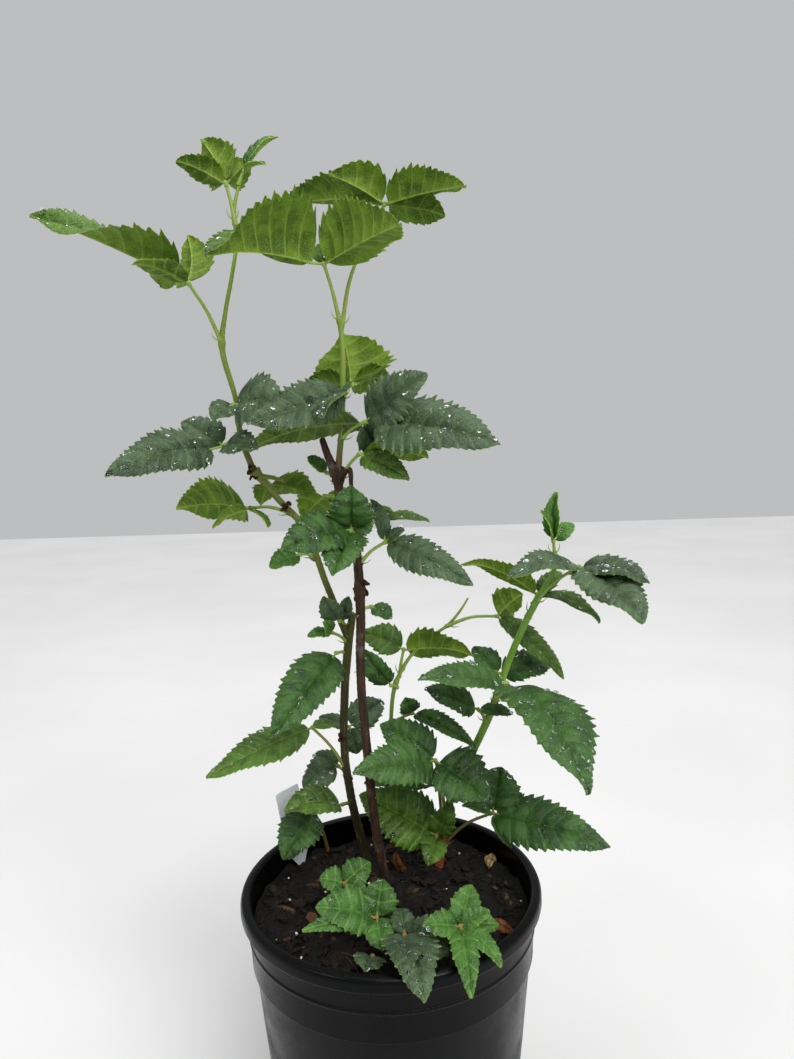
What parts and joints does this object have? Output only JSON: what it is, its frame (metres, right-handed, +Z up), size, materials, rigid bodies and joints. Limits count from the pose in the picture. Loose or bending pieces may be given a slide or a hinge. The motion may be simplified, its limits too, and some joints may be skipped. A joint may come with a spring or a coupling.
{
  "type": "potted bramble plant",
  "caption": "Young bramble plant with upright canes and toothed compound leaves, growing in a round black nursery pot.",
  "frame": {"origin": "centre of the pot's base, on the surface it stands on", "axes": "+Z up, -Y towards the side the plant is seen from, +X to the right of that view"},
  "size_m": [0.294, 0.1755, 0.562],
  "materials": {
    "pot_plastic": "satin black moulded plastic with dust",
    "potting_mix": "damp dark bark mix with white specks",
    "label_plastic": "blank white plastic",
    "woody_bark": "matte olive brown bark",
    "green_stem": "smooth green stem",
    "leaf": "semi-matte leaf with sunken veins and water drops",
    "dry_leaf": "dry papery leaf"
  },
  "bodies": {
    "root": {"pot": "pot_plastic", "soil": "potting_mix", "label": "label_plastic", "left_cane": "woody_bark", "left_shoot": "green_stem", "right_cane": "woody_bark", "right_shoot": "green_stem", "young_cane": "green_stem", "back_shoot": "green_stem", "left_leaf_1": "leaf", "left_leaf_2": "leaf", "left_leaf_3": "leaf", "left_leaf_4": "leaf", "left_leaf_young": "leaf", "left_leaf_5": "leaf", "left_leaf_6": "leaf", "mid_leaf_5": "leaf", "mid_leaf_6": "leaf", "mid_leaf_7": "leaf", "back_leaf_5": "leaf", "low_leaf_1": "leaf", "low_leaf_2": "leaf", "low_leaf_3": "leaf", "low_leaf_4": "leaf", "right_leaf_1": "leaf", "right_leaf_2": "leaf", "right_leaf_3": "leaf", "right_leaf_4": "leaf", "right_leaf_5": "leaf", "right_leaf_6": "leaf", "right_leaf_7": "leaf", "mid_leaf_1": "leaf", "mid_leaf_2": "leaf", "mid_leaf_3": "leaf", "mid_leaf_4": "leaf", "mid_leaf_8": "leaf", "back_leaf_1": "leaf", "back_leaf_2": "leaf", "back_leaf_3": "leaf", "back_leaf_4": "leaf", "young_leaf_1": "leaf", "young_leaf_2": "leaf", "young_leaf_3": "leaf", "young_leaf_4": "leaf", "young_leaf_10": "leaf", "young_leaf_5": "leaf", "young_leaf_6": "leaf", "young_leaf_7": "leaf", "young_leaf_8": "leaf", "young_leaf_9": "leaf", "low_leaf_5": "leaf", "front_leaf_1": "leaf", "front_leaf_2": "leaf", "front_leaf_3": "leaf", "front_leaf_4": "leaf", "front_leaf_5": "leaf", "fallen_leaf_beige": "dry_leaf", "fallen_leaf_brown": "dry_leaf", "withered_leaf": "dry_leaf"}
  },
  "joints": []
}
